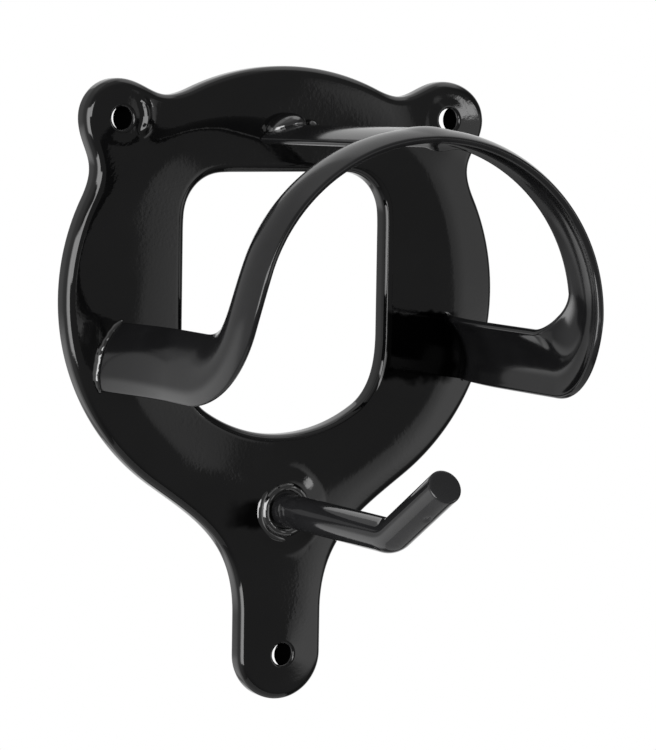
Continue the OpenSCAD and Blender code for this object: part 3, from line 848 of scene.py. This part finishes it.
def diffuse(nodes, level):
    """A grey diffuse shader of a level."""
    node = nodes.new("ShaderNodeBsdfDiffuse")
    node.inputs["Color"].default_value = (level, level, level, 1)
    return node.outputs[0]


def stage_plane(name, corners, material):
    """A flat stage face through corners in millimetres."""
    mesh = bpy.data.meshes.new(name)
    places = [[c / 1000 for c in corner] for corner in corners]
    mesh.from_pydata(places, [], [tuple(range(len(corners)))])
    item = bpy.data.objects.new(name, mesh)
    item.data.materials.append(material)
    bpy.context.scene.collection.objects.link(item)
    return item


bpy.context.scene.view_settings.view_transform = "Standard"

# Levels of the studio's lit parts.
FRONT, SOFTBOX, CARD_STRIP, UPPER, LOW = 0.235, 5.6, 4.5, 0.9, 0.6


def build_world():
    """The studio round the rack by direction, in degrees of azimuth from -Y towards +X and of
    elevation: a dim front, a grey wall on the left with a softbox and its wing, a pale ceiling,
    a card and a bright strip on the right, a soft light above on the right and one below on the
    left behind, and a white sweep behind on the right. The camera sees plain white, and what
    reflects the place behind the rack sees it too."""
    world = bpy.data.worlds.new("studio")
    bpy.context.scene.world = world
    world.use_nodes = True
    nodes, links = world.node_tree.nodes, world.node_tree.links
    back = nodes["Background"]
    m, s, g = makers(world.node_tree)
    x, y, z = g("SeparateXYZ", {"Vector": g("TexCoord").outputs["Generated"]}).outputs

    def product(*values):
        whole = values[0]
        for value in values[1:]:
            whole = m("MULTIPLY", whole, value)
        return whole

    az = m("MULTIPLY", m("ARCTAN2", x, m("MULTIPLY", y, -1.0)), math.degrees(1))
    el = m("MULTIPLY", m("ARCSINE", z), math.degrees(1))
    left = m("SUBTRACT", s(az, -45, -92, 0.0, 0.36), s(az, -95, -180, 0.0, 0.2))
    right = product(s(az, 35, 72), s(el, 42, 30), 0.13)
    ceiling = s(el, 40, 72, 0.0, 0.2)
    level = m("SUBTRACT", m("ADD", m("ADD", left, FRONT), ceiling), right)
    level = m("MULTIPLY", level, s(el, -72, -20, 0.3, 1.0))
    box = product(s(az, -88, -64), s(az, -41, -43), s(el, -25, -22), s(el, 22, 18))
    wing = product(s(az, -43, -41), s(az, -18, -22), s(el, 0, 2), s(el, 24, 21))
    card = m("ADD", s(az, 29.4, 30.8, 0.0, 0.33), s(az, 30, 37, 0.0, 0.34))
    card = product(card, s(el, 12, 7), s(el, -20, -12), s(az, 92, 62), s(el, -2, -9, 1.0, 1.5))
    strip = product(s(az, 41, 44), s(az, 54, 51), s(el, 6, 8), s(el, 13, 11), CARD_STRIP)
    upper = product(s(az, 58, 75), s(az, 150, 135), s(el, 36, 46), s(el, 75, 62), UPPER)
    low = product(s(az, -176, -165), s(az, -112, -128), s(el, -62, -50), s(el, -6, -16), LOW)
    lit = m("ADD", m("MULTIPLY", m("MAXIMUM", box, wing), SOFTBOX), m("ADD", upper, low))
    level = m("ADD", level, m("ADD", m("ADD", card, strip), lit))
    behind = product(s(az, 112, 128), s(el, -45, -20))
    path = g("LightPath").outputs
    seen = m("ADD", path["Is Glossy Ray"], path["Is Transmission Ray"])
    sweep = m("MULTIPLY", behind, m("MULTIPLY_ADD", seen, 0.3, 0.7))
    white = m("MAXIMUM", path["Is Camera Ray"], sweep)
    rest = m("MULTIPLY", level, m("SUBTRACT", 1.0, white))
    links.new(m("ADD", rest, white), back.inputs["Strength"])
    back.inputs["Color"].default_value = (1, 1, 1, 1)


build_world()

FLOOR_HALF, FLOOR_Z = 500, -900
floor_material = stage_material("pale_floor", lambda nodes, links: diffuse(nodes, 0.8))
stage_plane("floor", [(side_x * FLOOR_HALF, side_y * FLOOR_HALF, FLOOR_Z)
                      for side_x, side_y in ((-1, -1), (1, -1), (1, 1), (-1, 1))], floor_material)


def dark_behind(nodes, links):
    """Painted shade: black from the front and clear from behind."""
    mix = nodes.new("ShaderNodeMixShader")
    links.new(nodes.new("ShaderNodeNewGeometry").outputs["Backfacing"], mix.inputs[0])
    links.new(diffuse(nodes, 0.002), mix.inputs[1])
    links.new(nodes.new("ShaderNodeBsdfTransparent").outputs[0], mix.inputs[2])
    return mix.outputs[0]


# A disc of painted shade in the hollow: its radius, place in front of the wall and count of
# corners.
DISC_R, DISC_Y, DISC_CORNERS = 5.1, -0.5, 48


def hole_shade_disc(name, x, z, right, down, material):
    """A black disc in the plate's hollow behind a screw hole, painted shade for the dark inside of
    the hollow. It stands off to the right, so that from the camera a crescent of the pale
    background shows at the hole's left."""
    turn = np.linspace(0, 2 * math.pi, DISC_CORNERS, endpoint=False)
    corners = np.stack([x + right + DISC_R * np.cos(turn), np.full(DISC_CORNERS, DISC_Y),
                        z - down + DISC_R * np.sin(turn)], axis=-1)
    stage_plane(name, corners.tolist(), material)


# Painted shade: black discs in the hollow behind the three screw holes.
hollow_shade_black = stage_material("hollow_shade_black", dark_behind)
hole_shade_disc("left_hole_shade", -HOLE_X, 0, 4.7, 0.1, hollow_shade_black)
hole_shade_disc("right_hole_shade", HOLE_X, 0, 6.6, 0.1, hollow_shade_black)
hole_shade_disc("lower_hole_shade", 0, -HOLE_DROP, 5.6, 1.2, hollow_shade_black)

# The camera as fitted to the photograph: lens and sensor in millimetres, place in metres, and
# angles in degrees.
CAMERA_LENS, CAMERA_SENSOR, CAMERA_PLACE = 168.58, 36, (-0.58598, -1.09498, 0.02318)
azimuth, elevation, roll = math.radians(29.0), math.radians(5.234), math.radians(0.924)
camera_data = bpy.data.cameras.new("camera")
camera_data.lens = CAMERA_LENS
camera_data.sensor_width = CAMERA_SENSOR
camera_data.clip_end = 50
camera = bpy.data.objects.new("camera", camera_data)
bpy.context.scene.collection.objects.link(camera)
bpy.context.scene.camera = camera
look = np.array([math.sin(azimuth) * math.cos(elevation),
                 math.cos(azimuth) * math.cos(elevation), -math.sin(elevation)])
right = np.cross(look, [0, 0, 1.0])
right /= np.linalg.norm(right)
up = np.cross(right, look)
cam_x = right * math.cos(roll) + up * math.sin(roll)
cam_y = up * math.cos(roll) - right * math.sin(roll)
camera.matrix_world = Matrix([[cam_x[i], cam_y[i], -look[i], CAMERA_PLACE[i]] for i in range(3)]
                             + [[0, 0, 0, 1]])
